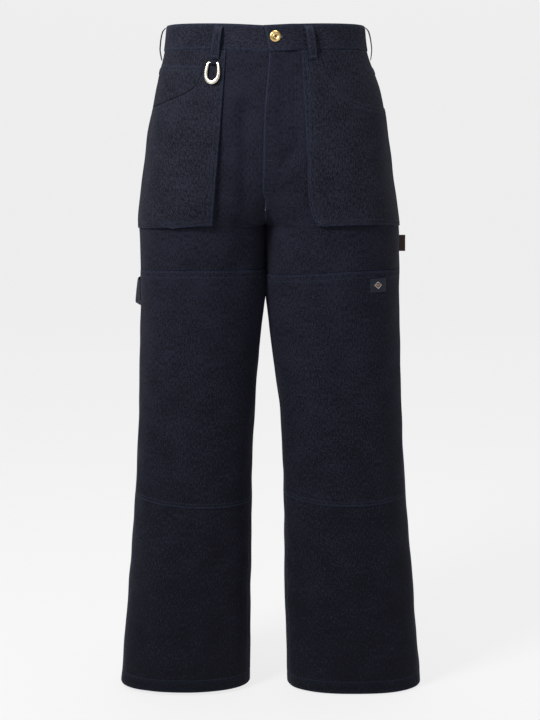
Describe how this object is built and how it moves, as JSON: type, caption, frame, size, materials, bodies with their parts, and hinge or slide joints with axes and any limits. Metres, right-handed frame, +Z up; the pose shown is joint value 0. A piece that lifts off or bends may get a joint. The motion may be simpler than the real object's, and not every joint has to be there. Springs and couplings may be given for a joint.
{
  "type": "straight work jeans",
  "caption": "Straight-legged work jeans in dark denim with free-hanging tool pockets, knee panels, a hammer loop and a horseshoe ring at the waist.",
  "frame": {"origin": "middle of the wearer's waist, level with the top edge of the waistband", "axes": "+Z up along the body, the front faces -Y, the wearer's left is +X"},
  "size_m": [0.506, 0.2536, 1.0918],
  "materials": {
    "denim": "dark raw indigo denim twill",
    "pocket_denim": "dark raw indigo denim twill",
    "band_denim": "dark raw indigo denim twill",
    "brass": "polished",
    "pale_gold": "polished pale gold plate",
    "brown_tab": "woven tape",
    "label": "woven, plain"
  },
  "bodies": {
    "trousers": {"waistband": "band_denim", "front_right": "denim", "front_left": "denim", "back_right": "denim", "back_left": "denim", "yoke_right": "denim", "yoke_left": "denim", "tool_pocket_under_right": "pocket_denim", "tool_pocket_under_left": "pocket_denim", "tool_pocket_right": "pocket_denim", "tool_pocket_left": "pocket_denim", "knee_panel_right": "denim", "knee_panel_left": "denim", "back_pocket_right": "pocket_denim", "back_pocket_left": "pocket_denim", "coin_pocket": "pocket_denim", "belt_loop_front_right": "band_denim", "belt_loop_front_left": "band_denim", "belt_loop_side_right": "band_denim", "belt_loop_side_left": "band_denim", "belt_loop_back": "band_denim", "button": "brass", "ring_tab": "band_denim", "hammer_loop": "denim", "side_tab": "brown_tab", "woven_label": "label"},
    "ring": {"ring": "pale_gold"}
  },
  "joints": [
    {"name": "ring_swing", "type": "hinge", "parent": "trousers", "child": "ring", "pos_m": [-0.08009, -0.10072, -0.05764], "axis": [-0.9576, 0.284, 0.0484], "range_deg": [0, 150]}
  ]
}
